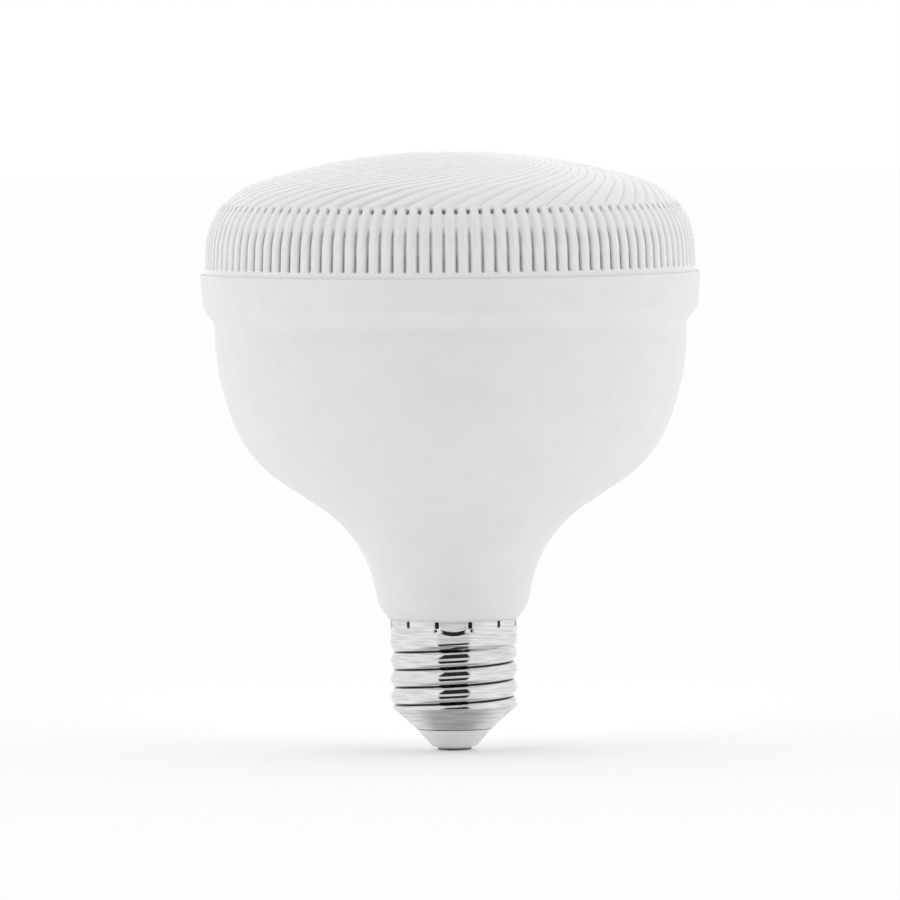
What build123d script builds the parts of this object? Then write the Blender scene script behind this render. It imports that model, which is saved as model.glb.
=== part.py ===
# High-wattage LED bulb: a moulded housing with an Edison screw cap below and a prismatic lens above.
# Millimetres, +Z up, origin on the bulb's axis at the face of the centre contact.
import math
import os

from build123d import *

os.makedirs("parts", exist_ok=True)

# Edison screw cap, heights measured up from the centre contact's face
cap_height = 27.0
collar_height = 5.0
collar_diameter = 26.4
collar_flare = 1.1
thread_diameter = 26.2
thread_depth = 0.85
thread_pitch = 3.629
thread_round = 1.2
thread_runout = 1.8
shell_wall = 0.35
shell_mouth_radius = 7.7
shell_mouth_height = 4.3
shell_cone_height = 4.8
stake_count = 12
stake_width = 0.6
stake_height = 1.3

# Centre contact and the insulator that carries it
contact_face_radius = 3.35
contact_head_radius = 3.5
contact_head_height = 0.45
contact_edge_height = 0.15
contact_stem_radius = 1.2
contact_bore_radius = 0.75
contact_bore_floor = 2.0
rivet_radius = 1.9
rivet_height = 0.6
insulator_lip = 0.1
insulator_foot_radius = 4.7
insulator_foot_rise = 0.45
insulator_reach = 3.6
insulator_wall = 1.8
insulator_boss_wall = 1.0
insulator_boss_height = 2.2

# Housing: each rise is measured from the one before it, up from the seat on the cap
neck_radius = 15.45
neck_lip_rise = 3.0
flare_radius = 17.95
flare_rise = 14.05
bowl_rise = 16.45
flank_rise = 18.25
head_rise = 9.45
chamfer_rise = 3.3
rim_radius = 51.0
rim_lean = 0.5
rim_step = 2.45
flank_lean = 5.9
rim_rise = 7.0
neck_lip_bend = 6.0
flare_bend = 26.0
bowl_bend = 26.0
shoulder_bend = 46.0
chamfer_bend = 2.4
rim_bend = 0.8
rim_edge_fillet = 0.35
housing_wall = 1.8
rim_wall = 2.3
spigot_wall = 1.7
spigot_bottom_rise = 8.0
board_ledge_rise = 2.0
rail_length = 11.0
rail_thickness = 1.0
rail_reach = 2.6

# Lens: a drafted fluted wall under a shallow dome, with a skirt that snaps into the rim
lens_rise = 25.1
lens_dome_radius = 134.2
lens_shoulder = 15.4
lens_draft = 2.75
lens_wall = 2.0
lens_flange_height = 1.0
lens_skirt_wall = 1.8
snap_radius = 0.5
snap_rise = 2.2
flute_count = 120
flute_depth = 0.45
flute_width = 1.0
flute_ring_inset = 3.85

# Heat path and light engine
cup_wall = 1.0
cup_lift = 4.0
spreader_thickness = 2.0
led_board_margin = 6.4
led_board_thickness = 1.6
led_length = 3.5
led_width = 2.8
led_height = 0.7
led_edge = 0.15
led_ring_inset = 6.0
led_ring_step = 10.0
led_ring_counts = (28, 20, 12)
screw_count = 3
screw_shank_radius = 1.45
screw_head_radius = 2.7
screw_head_height = 1.6
screw_head_edge = 0.5
screw_slot_length = 2.8
screw_slot_width = 0.7
screw_slot_depth = 0.8

# Driver board, standing upright on the bulb's axis
board_thickness = 1.6
board_tail_length = 14.0
board_neck_length = 14.0
board_spread = 8.0
board_top_length = 30.0
board_top_width = 40.0

# Transformer: two E cores round a bobbin
core_width = 20.0
core_half_height = 10.0
core_depth = 6.0
core_back = 2.8
core_side_leg = 2.6
core_centre_leg = 5.0
core_air_gap = 0.1
bobbin_wall = 0.8
winding_build = 3.2
winding_corner = 2.6

# Other parts on the board
can_bevel = 0.6
can_groove_height = 2.6
can_groove_depth = 0.6
bulk_can_radius = 6.25
bulk_can_length = 20.0
output_can_radius = 5.0
output_can_length = 16.0
can_lead_spread = 2.5
can_lead_radius = 0.4
can_lead_drop = 3.0
film_width = 13.0
film_height = 11.0
film_depth = 6.0
film_edge = 0.8
choke_radius = 4.5
choke_length = 12.0
choke_flange = 1.4
choke_waist = 0.6
varistor_radius = 4.5
varistor_depth = 4.0
varistor_edge = 1.2
resistor_radius = 2.0
resistor_length = 10.0
resistor_waist = 0.35
resistor_end = 2.4
package_draft = 5.0
bridge_width = 5.0
bridge_height = 6.0
bridge_depth = 2.4
chip_width = 3.9
chip_height = 4.9
chip_depth = 1.5
chip_pins_a_side = 4
chip_pin_pitch = 1.27
chip_pin_width = 0.4
chip_pin_reach = 1.0
chip_pin_depth = 0.3
diode_width = 3.6
diode_height = 4.3
diode_depth = 2.3
chip_resistor_width = 1.6
chip_resistor_height = 3.2
chip_resistor_depth = 0.6
chip_resistor_rows = 2
chip_resistor_columns = 2
chip_resistor_gap = 1.0

# Wires
lead_radius = 0.55
lead_bend = 2.5
live_lead_rise = 6.0
neutral_lead_run = 6.0
neutral_lead_drop = 5.0
led_lead_spacing = 4.0
led_lead_foot = 5.0
led_lead_reach = 6.0

# Clearances
fit_gap = 0.15
seat_gap = 0.1
wire_gap = 0.2
board_gap = 0.3
cut_overrun = 1.0

# Heights worked out from the rises
seat_z = cap_height
collar_z = cap_height - collar_height
lip_z = seat_z + neck_lip_rise
flare_z = lip_z + flare_rise
bowl_z = flare_z + bowl_rise
shoulder_z = bowl_z + flank_rise
chamfer_z = shoulder_z + head_rise
rim_z = chamfer_z + chamfer_rise
rim_top_z = rim_z + rim_rise
board_ledge_z = seat_z + board_ledge_rise
lens_seat_z = rim_top_z - lens_flange_height
cup_ledge_z = rim_z - housing_wall
spreader_z = cup_ledge_z + cup_wall
led_board_z = spreader_z + spreader_thickness
led_board_top_z = led_board_z + led_board_thickness

# Radii worked out from the driving sizes
collar_radius = collar_diameter / 2
thread_root_radius = thread_diameter / 2 - thread_depth
cone_slope = (thread_diameter / 2 - shell_mouth_radius) / shell_cone_height
spigot_radius = thread_root_radius - shell_wall - fit_gap
spigot_collar_radius = collar_radius - shell_wall - fit_gap
spigot_bore = spigot_radius - spigot_wall
head_radius = rim_radius - rim_step
bowl_radius = head_radius - flank_lean
rim_top_radius = rim_radius + rim_lean
rim_bore = rim_radius - rim_wall
lens_radius = rim_top_radius - 2 * rim_edge_fillet - fit_gap
flute_ring_radius = lens_radius - flute_ring_inset
skirt_radius = rim_bore - fit_gap
spreader_radius = rim_bore - board_gap
led_board_radius = spreader_radius - led_board_margin
led_ring_radius = led_board_radius - led_ring_inset
screw_ring_radius = led_ring_radius - led_ring_step / 2
lead_hole_radius = led_lead_spacing / 2 + lead_bend + wire_gap

# Wall line of the housing from its head down to its neck, with the bend at each corner
wall_corners = (
    (head_radius, chamfer_z),
    (head_radius, shoulder_z),
    (bowl_radius, bowl_z),
    (flare_radius, flare_z),
    (neck_radius, lip_z),
)
wall_bends = (shoulder_bend, bowl_bend, -flare_bend)


def crossing(point, direction, other, other_direction):
    """Point where two lines in the profile plane meet."""
    turn = direction.X * other_direction.Y - direction.Y * other_direction.X
    gap = other - point
    along = (gap.X * other_direction.Y - gap.Y * other_direction.X) / turn
    return point + direction * along


def wall_line(inset, top, bottom):
    """Corners of the wall line moved inwards by inset and cut level at top and bottom."""
    corners = [Vector(*corner) for corner in wall_corners]
    runs = [(below - above).normalized() for above, below in zip(corners, corners[1:])]
    starts = [corner + Vector(run.Y, -run.X) * inset for corner, run in zip(corners, runs)]
    level = Vector(1, 0)
    points = [crossing(starts[0], runs[0], Vector(0, top), level)]
    for upper, lower in zip(range(len(runs) - 1), range(1, len(runs))):
        points.append(crossing(starts[upper], runs[upper], starts[lower], runs[lower]))
    points.append(crossing(starts[-1], runs[-1], Vector(0, bottom), level))
    return points


def wall_bend_radii(inset):
    """Bend at each corner of the wall line moved inwards by inset."""
    return [abs(bend - inset) for bend in wall_bends]


def turned(*points):
    """Solid of revolution about the bulb's axis from a closed outline of radius and height."""
    with BuildPart() as blank:
        with BuildSketch(Plane.XZ):
            with BuildLine():
                Polyline(*points, close=True)
            make_face()
        revolve(axis=Axis.Z)
    return blank.part


def cone_radius(height, inset):
    """Radius of the shell's lower cone at a height, moved inwards by inset."""
    return (
        shell_mouth_radius
        + (height - shell_mouth_height) * cone_slope
        - inset * math.sqrt(1 + cone_slope**2)
    )


# Half turns of the thread, from the collar down: each is half a ring, tilted so that the next one carries on
half_turn_count = math.ceil(2 * (collar_z - shell_mouth_height) / thread_pitch)
thread_top_z = collar_z - thread_runout
thread_ring_radius = thread_diameter / 2 - thread_round
half_turns = []
for index in range(half_turn_count):
    right_z = thread_top_z - thread_pitch * (index // 2)
    at_back = index % 2 == 0
    left_z = right_z + thread_pitch / 2 * (1 if at_back else -1)
    start = (thread_ring_radius, right_z) if at_back else (-thread_ring_radius, left_z)
    half_turns.append((start, (right_z + left_z) / 2, right_z - left_z))

# Screw shell: plated metal with a round-crested thread, a collar above and a cone below
cone_reach = collar_radius + cut_overrun
cone_top_z = shell_mouth_height + (cone_reach - shell_mouth_radius) / cone_slope
bore_radius = thread_root_radius - shell_wall
collar_bore = collar_radius - shell_wall
flare_rise_inside = shell_wall * (math.sqrt(2) - 1)
cone_bore_z = shell_mouth_height + (bore_radius - cone_radius(shell_mouth_height, shell_wall)) / cone_slope
with BuildPart() as screw_shell:
    with BuildSketch(Plane.XY.offset(shell_mouth_height)):
        Circle(thread_root_radius)
    extrude(amount=collar_z - shell_mouth_height)
    for start, middle_z, climb in half_turns:
        with BuildSketch(Plane.XZ):
            with Locations(start):
                Circle(thread_round)
        tilted = Axis((0, 0, middle_z), (-climb, 0, 2 * thread_ring_radius))
        revolve(axis=tilted, revolution_arc=180)
    add(
        turned(
            (0, shell_mouth_height),
            (shell_mouth_radius, shell_mouth_height),
            (cone_reach, cone_top_z),
            (cone_reach, collar_z),
            (0, collar_z),
        ),
        mode=Mode.INTERSECT,
    )
    add(
        turned(
            (0, collar_z - collar_flare),
            (collar_radius - collar_flare, collar_z - collar_flare),
            (collar_radius, collar_z),
            (collar_radius, cap_height),
            (0, cap_height),
        )
    )
    add(
        turned(
            (0, shell_mouth_height - cut_overrun),
            (cone_radius(shell_mouth_height - cut_overrun, shell_wall), shell_mouth_height - cut_overrun),
            (bore_radius, cone_bore_z),
            (bore_radius, collar_z - (collar_bore - bore_radius) + flare_rise_inside),
            (collar_bore, collar_z + flare_rise_inside),
            (collar_bore, cap_height + cut_overrun),
            (0, cap_height + cut_overrun),
        ),
        mode=Mode.SUBTRACT,
    )
    with BuildSketch(Plane.XY.offset(cap_height - stake_height)):
        with PolarLocations(collar_radius, stake_count, start_angle=-90 + 180 / stake_count):
            Rectangle(4 * shell_wall, stake_width)
    extrude(amount=stake_height + cut_overrun, mode=Mode.SUBTRACT)
screw_shell.part.label = "screw_shell"
export_step(screw_shell.part, "parts/screw_shell.step")

# Base insulator: a plastic cone that closes the shell's mouth and carries the contact
insulator_top = shell_mouth_height + insulator_reach
insulator_mouth = cone_radius(shell_mouth_height, shell_wall + seat_gap)
insulator_edge = cone_radius(insulator_top, shell_wall + seat_gap)
boss_top = shell_mouth_height + insulator_boss_height
boss_radius = rivet_radius + insulator_boss_wall
insulator_floor = contact_head_height + insulator_wall
with BuildPart() as base_insulator:
    with BuildSketch(Plane.XZ):
        with BuildLine():
            Polyline(
                (contact_stem_radius + seat_gap, contact_head_height),
                (contact_head_radius + insulator_lip, contact_head_height),
                (insulator_foot_radius, contact_head_height + insulator_foot_rise),
                (shell_mouth_radius, shell_mouth_height),
                (insulator_mouth, shell_mouth_height),
                (insulator_edge, insulator_top),
                (insulator_edge - insulator_wall, insulator_top),
                (boss_radius + seat_gap, insulator_floor + insulator_wall),
                (boss_radius, boss_top),
                (contact_stem_radius + seat_gap, boss_top),
                close=True,
            )
        make_face()
    revolve(axis=Axis.Z)
base_insulator.part.label = "base_insulator"
export_step(base_insulator.part, "parts/base_insulator.step")

# Centre contact: a riveted disc with a blind bore for the live wire
contact_top = boss_top + rivet_height
with BuildPart() as centre_contact:
    with BuildSketch(Plane.XZ):
        with BuildLine():
            Polyline(
                (0, 0),
                (contact_face_radius, 0),
                (contact_head_radius, contact_edge_height),
                (contact_head_radius, contact_head_height),
                (contact_stem_radius, contact_head_height),
                (contact_stem_radius, boss_top),
                (rivet_radius, boss_top),
                (rivet_radius, contact_top),
                (contact_bore_radius, contact_top),
                (contact_bore_radius, contact_bore_floor),
                (0, contact_bore_floor),
                close=True,
            )
        make_face()
    revolve(axis=Axis.Z)
centre_contact.part.label = "centre_contact"
export_step(centre_contact.part, "parts/centre_contact.step")

# Housing: one moulding with rim, bowl, neck and a spigot inside the shell
inside = wall_line(housing_wall, cup_ledge_z, board_ledge_z)
neck_bore = inside[-1].X
spigot_bottom_z = shell_mouth_height + spigot_bottom_rise
spigot_step_z = collar_z + collar_flare
snap_z = lens_seat_z - snap_rise
neutral_lead_z = collar_z + collar_height / 2
lead_y = -board_thickness / 2 - lead_radius

# Hollow of the housing, less the two pairs of rails that guide the driver board
with BuildPart() as hollow:
    with BuildSketch(Plane.XZ):
        with BuildLine():
            inner = FilletPolyline(*inside, radius=wall_bend_radii(housing_wall))
            Polyline(
                inner @ 0,
                (rim_bore, cup_ledge_z),
                (rim_bore, lens_seat_z),
                (lens_radius + fit_gap, lens_seat_z),
                (lens_radius + fit_gap, rim_top_z + cut_overrun),
                (0, rim_top_z + cut_overrun),
                (0, spigot_bottom_z - cut_overrun),
                (spigot_bore, spigot_bottom_z - cut_overrun),
                (spigot_bore, board_ledge_z),
                inner @ 1,
            )
        make_face()
        with Locations((skirt_radius, snap_z)):
            Circle(snap_radius + fit_gap)
    revolve(axis=Axis.Z)
    with BuildSketch(Plane.XY.offset(board_ledge_z)):
        rail_y = board_thickness / 2 + fit_gap + rail_thickness / 2
        rail_x = neck_bore - rail_reach + flare_radius / 2
        with GridLocations(2 * rail_x, 2 * rail_y, 2, 2):
            Rectangle(flare_radius, rail_thickness)
    extrude(amount=rail_length, mode=Mode.SUBTRACT)

with BuildPart() as housing:
    with BuildSketch(Plane.XZ) as housing_section:
        with BuildLine():
            outer = FilletPolyline(
                (rim_top_radius, rim_top_z),
                (rim_radius, rim_z),
                *wall_corners,
                (collar_radius, seat_z),
                radius=[rim_bend, chamfer_bend, shoulder_bend, bowl_bend, flare_bend, neck_lip_bend],
            )
            Polyline(
                outer @ 1,
                (spigot_collar_radius, seat_z),
                (spigot_collar_radius, spigot_step_z),
                (spigot_radius, spigot_step_z - collar_flare),
                (spigot_radius, spigot_bottom_z),
                (0, spigot_bottom_z),
                (0, rim_top_z),
                outer @ 0,
            )
        make_face()
        fillet(housing_section.vertices().sort_by_distance(outer @ 0)[0], rim_edge_fillet)
    revolve(axis=Axis.Z)
    add(hollow.part, mode=Mode.SUBTRACT)
    with BuildSketch(Plane.YZ.offset(spigot_bore / 2)):
        with Locations((lead_y, neutral_lead_z)):
            Circle(lead_radius + wire_gap)
    extrude(amount=collar_radius, mode=Mode.SUBTRACT)
housing.part.label = "housing"
export_step(housing.part, "parts/housing.step")


def dome_section(inset):
    """Half section of the lens above the rim, moved inwards by inset, with its shoulder rounded."""
    lean = lens_rise * math.tan(math.radians(lens_draft))
    base = lens_radius - inset
    with BuildSketch(Plane.XZ) as section:
        with BuildLine():
            Polyline(
                (0, rim_top_z),
                (base, rim_top_z),
                (base - lean, rim_top_z + lens_rise),
                (0, rim_top_z + lens_rise),
                close=True,
            )
        make_face()
        with Locations((0, rim_top_z + lens_rise - lens_dome_radius)):
            Circle(lens_dome_radius - inset, mode=Mode.INTERSECT)
        fillet(section.vertices().sort_by(Axis.X)[-2], lens_shoulder - inset)
    return section.sketch


# One flute: a slot that follows the lens wall up over the shoulder to the flute ring
lens_outside = dome_section(0)
shoulder_arc = lens_outside.edges().filter_by(GeomType.CIRCLE).sort_by(SortBy.RADIUS)[0]
arc_centre = Vector(shoulder_arc.arc_center.X, shoulder_arc.arc_center.Z)
flute_end = math.degrees(math.acos((flute_ring_radius - arc_centre.X) / lens_shoulder))
flute_drop = arc_centre.Y - rim_top_z + cut_overrun
with BuildPart() as flute:
    with BuildSketch(Plane.XZ):
        with BuildLine():
            floor = CenterArc(arc_centre, lens_shoulder - flute_depth, flute_end, lens_draft - flute_end)
            mouth = CenterArc(arc_centre, lens_shoulder + cut_overrun, flute_end, lens_draft - flute_end)
            Line(floor @ 0, mouth @ 0)
            Polyline(
                floor @ 1,
                floor @ 1 + (floor % 1) * flute_drop,
                mouth @ 1 + (mouth % 1) * flute_drop,
                mouth @ 1,
            )
        make_face()
    extrude(amount=flute_width / 2, both=True)

# Lens: clear moulding with the flutes outside and a skirt that snaps into the rim
skirt_bore = skirt_radius - lens_skirt_wall
skirt_bottom_z = led_board_z + seat_gap
with BuildPart() as lens:
    add(lens_outside)
    revolve(axis=Axis.Z)
    with PolarLocations(0, flute_count, start_angle=180 / flute_count):
        add(flute.part, mode=Mode.SUBTRACT)
    add(
        turned(
            (0, skirt_bottom_z),
            (skirt_radius, skirt_bottom_z),
            (skirt_radius, lens_seat_z),
            (lens_radius, lens_seat_z),
            (lens_radius, rim_top_z),
            (0, rim_top_z),
        )
    )
    with BuildSketch(Plane.XZ):
        with Locations((skirt_radius, snap_z)):
            Circle(snap_radius)
    revolve(axis=Axis.Z)
    add(dome_section(lens_wall))
    revolve(axis=Axis.Z, mode=Mode.SUBTRACT)
    add(
        turned(
            (0, skirt_bottom_z),
            (skirt_bore, skirt_bottom_z),
            (skirt_bore, lens_seat_z),
            (lens_radius - lens_wall, rim_top_z + lens_flange_height),
            (0, rim_top_z + lens_flange_height),
        ),
        mode=Mode.SUBTRACT,
    )
lens.part.label = "lens"
export_step(lens.part, "parts/lens.step")

# Heat sink cup: drawn aluminium that lines the bowl, flanged over the ledge below the rim
cup_outside = housing_wall + fit_gap
cup_inside = cup_outside + cup_wall
with BuildPart() as heat_sink_cup:
    with BuildSketch(Plane.XZ):
        with BuildLine():
            cup_back = FilletPolyline(
                *wall_line(cup_outside, cup_ledge_z, board_ledge_z),
                radius=wall_bend_radii(cup_outside),
            )
            cup_face = FilletPolyline(
                *wall_line(cup_inside, spreader_z, board_ledge_z),
                radius=wall_bend_radii(cup_inside),
            )
            Polyline(
                cup_back @ 0,
                (spreader_radius, cup_ledge_z),
                (spreader_radius, spreader_z),
                cup_face @ 0,
            )
            Line(cup_back @ 1, cup_face @ 1)
        make_face()
    revolve(axis=Axis.Z)
    split(bisect_by=Plane.XY.offset(flare_z + cup_lift), keep=Keep.TOP)
heat_sink_cup.part.label = "heat_sink_cup"
export_step(heat_sink_cup.part, "parts/heat_sink_cup.step")

# Heat spreader: flat aluminium disc on the cup's flange, tapped for the board screws
with BuildPart() as heat_spreader:
    with BuildSketch(Plane.XY.offset(spreader_z)):
        Circle(spreader_radius)
        with Locations((0, lead_y)):
            Circle(lead_hole_radius, mode=Mode.SUBTRACT)
        with PolarLocations(screw_ring_radius, screw_count, start_angle=90):
            Circle(screw_shank_radius + seat_gap, mode=Mode.SUBTRACT)
    extrude(amount=spreader_thickness)
heat_spreader.part.label = "heat_spreader"
export_step(heat_spreader.part, "parts/heat_spreader.step")

# LED board: metal-cored disc screwed to the spreader
with BuildPart() as led_board:
    with BuildSketch(Plane.XY.offset(led_board_z)):
        Circle(led_board_radius)
        with Locations((0, lead_y)):
            Circle(lead_hole_radius, mode=Mode.SUBTRACT)
        with PolarLocations(screw_ring_radius, screw_count, start_angle=90):
            Circle(screw_shank_radius + fit_gap, mode=Mode.SUBTRACT)
    extrude(amount=led_board_thickness)
led_board.part.label = "led_board"
export_step(led_board.part, "parts/led_board.step")

# LED packages in rings on the board
with BuildPart() as led_packages:
    with BuildSketch(Plane.XY.offset(led_board_top_z)):
        for ring, ring_count in enumerate(led_ring_counts):
            ring_radius = led_ring_radius - ring * led_ring_step
            with PolarLocations(ring_radius, ring_count, start_angle=180 / ring_count):
                Rectangle(led_length, led_width)
    extrude(amount=led_height)
    chamfer(led_packages.faces().filter_by(Plane.XY).group_by(Axis.Z)[-1].edges(), led_edge)
led_packages.part.label = "led_packages"
export_step(led_packages.part, "parts/led_packages.step")

# Pan-head screws that hold the LED board down
with BuildPart() as led_board_screws:
    with BuildSketch(Plane.XY.offset(spreader_z)):
        with PolarLocations(screw_ring_radius, screw_count, start_angle=90):
            Circle(screw_shank_radius)
    extrude(amount=spreader_thickness + led_board_thickness)
    with BuildSketch(Plane.XY.offset(led_board_top_z)):
        with PolarLocations(screw_ring_radius, screw_count, start_angle=90):
            Circle(screw_head_radius)
    extrude(amount=screw_head_height)
    fillet(led_board_screws.edges().group_by(Axis.Z)[-1], screw_head_edge)
    with BuildSketch(Plane.XY.offset(led_board_top_z + screw_head_height)):
        with PolarLocations(screw_ring_radius, screw_count, start_angle=90):
            Rectangle(screw_slot_length, screw_slot_width)
            Rectangle(screw_slot_width, screw_slot_length)
    extrude(amount=-screw_slot_depth, mode=Mode.SUBTRACT)
led_board_screws.part.label = "led_board_screws"
export_step(led_board_screws.part, "parts/led_board_screws.step")

# Driver board: a tail in the spigot, a neck held by the rails and a wide head in the bowl
tail_half = math.sqrt(spigot_bore**2 - (board_thickness / 2) ** 2) - board_gap
neck_half = math.sqrt(neck_bore**2 - (board_thickness / 2) ** 2) - board_gap
tail_z = board_ledge_z - board_tail_length
neck_top_z = board_ledge_z + board_neck_length
head_z = neck_top_z + board_spread
board_top_z = head_z + board_top_length
with BuildPart() as driver_board:
    with BuildSketch(Plane.XZ):
        with BuildLine():
            Polyline(
                (0, tail_z),
                (tail_half, tail_z),
                (tail_half, board_ledge_z),
                (neck_half, board_ledge_z),
                (neck_half, neck_top_z),
                (board_top_width / 2, head_z),
                (board_top_width / 2, board_top_z),
                (0, board_top_z),
                close=True,
            )
        make_face()
        mirror(about=Plane.YZ)
    extrude(amount=board_thickness / 2, both=True)
driver_board.part.label = "driver_board"
export_step(driver_board.part, "parts/driver_board.step")

# Faces of the board: sketches on them run along the board's width and height
board_front = Plane((0, -board_thickness / 2, 0), x_dir=(1, 0, 0), z_dir=(0, -1, 0))
board_back = Plane((0, board_thickness / 2, 0), x_dir=(1, 0, 0), z_dir=(0, 1, 0))

# Transformer, standing on the front of the board's head
core_z = head_z + board_top_length / 2
window_half = core_half_height - core_back
tube_half_x = core_centre_leg / 2 + seat_gap + bobbin_wall
tube_half_y = core_depth / 2 + seat_gap + bobbin_wall
flange_half_x = core_width / 2 - core_side_leg - seat_gap
flange_half_y = tube_half_y + winding_build + bobbin_wall
core_y = -board_thickness / 2 - flange_half_y
with BuildPart() as transformer_core:
    with BuildSketch(Plane.XZ.offset(-core_y)):
        with Locations((0, core_z)):
            Rectangle(core_width, 2 * core_half_height)
            side = (core_width - core_centre_leg - 2 * core_side_leg) / 2
            with GridLocations(core_centre_leg + side, 1, 2, 1):
                Rectangle(side, 2 * window_half, mode=Mode.SUBTRACT)
            Rectangle(core_width, core_air_gap, mode=Mode.SUBTRACT)
    extrude(amount=core_depth / 2, both=True)
transformer_core.part.label = "transformer_core"
export_step(transformer_core.part, "parts/transformer_core.step")

bobbin_half = window_half - seat_gap
with BuildPart() as transformer_bobbin:
    with BuildSketch(Plane.XY.offset(core_z - bobbin_half)):
        with Locations((0, core_y)):
            Rectangle(2 * tube_half_x, 2 * tube_half_y)
    extrude(amount=2 * bobbin_half)
    for flange_z in (core_z - bobbin_half, core_z + bobbin_half - bobbin_wall):
        with BuildSketch(Plane.XY.offset(flange_z)):
            with Locations((0, core_y)):
                Rectangle(2 * flange_half_x, 2 * flange_half_y)
        extrude(amount=bobbin_wall)
    with BuildSketch(Plane.XY.offset(core_z - bobbin_half)):
        with Locations((0, core_y)):
            Rectangle(core_centre_leg + 2 * seat_gap, core_depth + 2 * seat_gap)
    extrude(amount=2 * bobbin_half, mode=Mode.SUBTRACT)
transformer_bobbin.part.label = "transformer_bobbin"
export_step(transformer_bobbin.part, "parts/transformer_bobbin.step")

winding_half = bobbin_half - bobbin_wall - seat_gap
with BuildPart() as transformer_winding:
    with BuildSketch(Plane.XY.offset(core_z - winding_half)):
        with Locations((0, core_y)):
            RectangleRounded(
                2 * (flange_half_x - bobbin_wall),
                2 * (tube_half_y + winding_build),
                winding_corner,
            )
            Rectangle(
                2 * (tube_half_x + seat_gap),
                2 * (tube_half_y + seat_gap),
                mode=Mode.SUBTRACT,
            )
    extrude(amount=2 * winding_half)
transformer_winding.part.label = "transformer_winding"
export_step(transformer_winding.part, "parts/transformer_winding.step")


def capacitor_can(centre_x, base_z, radius, length):
    """Crimped can lying upright against the back of the board on two bent wires."""
    centre_y = board_thickness / 2 + seat_gap + radius
    with BuildPart() as can:
        with BuildSketch(Plane((centre_x, centre_y, base_z), x_dir=(1, 0, 0), z_dir=(0, -1, 0))):
            with BuildLine():
                Polyline(
                    (0, 0),
                    (radius - can_bevel, 0),
                    (radius, can_bevel),
                    (radius, can_groove_height - can_groove_depth),
                    (radius - can_groove_depth, can_groove_height),
                    (radius, can_groove_height + can_groove_depth),
                    (radius, length - can_bevel),
                    (radius - can_bevel, length),
                    (0, length),
                    close=True,
                )
            make_face()
        revolve(axis=Axis((centre_x, centre_y, base_z), (0, 0, 1)))
        for wire_x in (centre_x - can_lead_spread, centre_x + can_lead_spread):
            with BuildLine() as wire:
                FilletPolyline(
                    (wire_x, centre_y, base_z + can_bevel),
                    (wire_x, centre_y, base_z - can_lead_drop),
                    (wire_x, board_thickness / 2, base_z - can_lead_drop),
                    radius=2 * can_lead_radius,
                )
            with BuildSketch(Plane(wire.line @ 0, z_dir=wire.line % 0)):
                Circle(can_lead_radius)
            sweep(path=wire.line)
    return can.part


# Smoothing capacitors side by side on the back of the board's head
can_base_z = head_z + can_lead_drop + can_lead_radius
bulk_capacitor = capacitor_can(-bulk_can_radius - seat_gap, can_base_z, bulk_can_radius, bulk_can_length)
bulk_capacitor.label = "bulk_capacitor"
export_step(bulk_capacitor, "parts/bulk_capacitor.step")

output_capacitor = capacitor_can(
    output_can_radius + seat_gap, can_base_z, output_can_radius, output_can_length
)
output_capacitor.label = "output_capacitor"
export_step(output_capacitor, "parts/output_capacitor.step")

# Film capacitor: a potted box on the front of the board's neck
film_z = neck_top_z - film_height / 2
with BuildPart() as film_capacitor:
    with BuildSketch(board_front):
        with Locations((0, film_z)):
            Rectangle(film_width, film_height)
    extrude(amount=film_depth)
    fillet(film_capacitor.edges().filter_by(Axis.Y), film_edge)
    fillet(film_capacitor.faces().sort_by(Axis.Y)[0].edges(), film_edge / 2)
film_capacitor.part.label = "film_capacitor"
export_step(film_capacitor.part, "parts/film_capacitor.step")

# Filter choke: a wound drum in a sleeve, on the back of the board's neck
choke_y = board_thickness / 2 + seat_gap + choke_radius
choke_z = neck_top_z - choke_length
with BuildPart() as filter_choke:
    with BuildSketch(Plane((0, choke_y, choke_z), x_dir=(1, 0, 0), z_dir=(0, -1, 0))):
        with BuildLine():
            Polyline(
                (0, 0),
                (choke_radius, 0),
                (choke_radius, choke_flange),
                (choke_radius - choke_waist, choke_flange + choke_waist),
                (choke_radius - choke_waist, choke_length - choke_flange - choke_waist),
                (choke_radius, choke_length - choke_flange),
                (choke_radius, choke_length),
                (0, choke_length),
                close=True,
            )
        make_face()
    revolve(axis=Axis((0, choke_y, choke_z), (0, 0, 1)))
filter_choke.part.label = "filter_choke"
export_step(filter_choke.part, "parts/filter_choke.step")

# Varistor: a dipped disc flat on the back of the board's tail
varistor_z = board_ledge_z - varistor_radius - board_gap
with BuildPart() as varistor:
    with BuildSketch(board_back):
        with Locations((0, -varistor_z)):
            Circle(varistor_radius)
    extrude(amount=varistor_depth)
    fillet(varistor.edges().filter_by(GeomType.CIRCLE), varistor_edge)
varistor.part.label = "varistor"
export_step(varistor.part, "parts/varistor.step")

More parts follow.
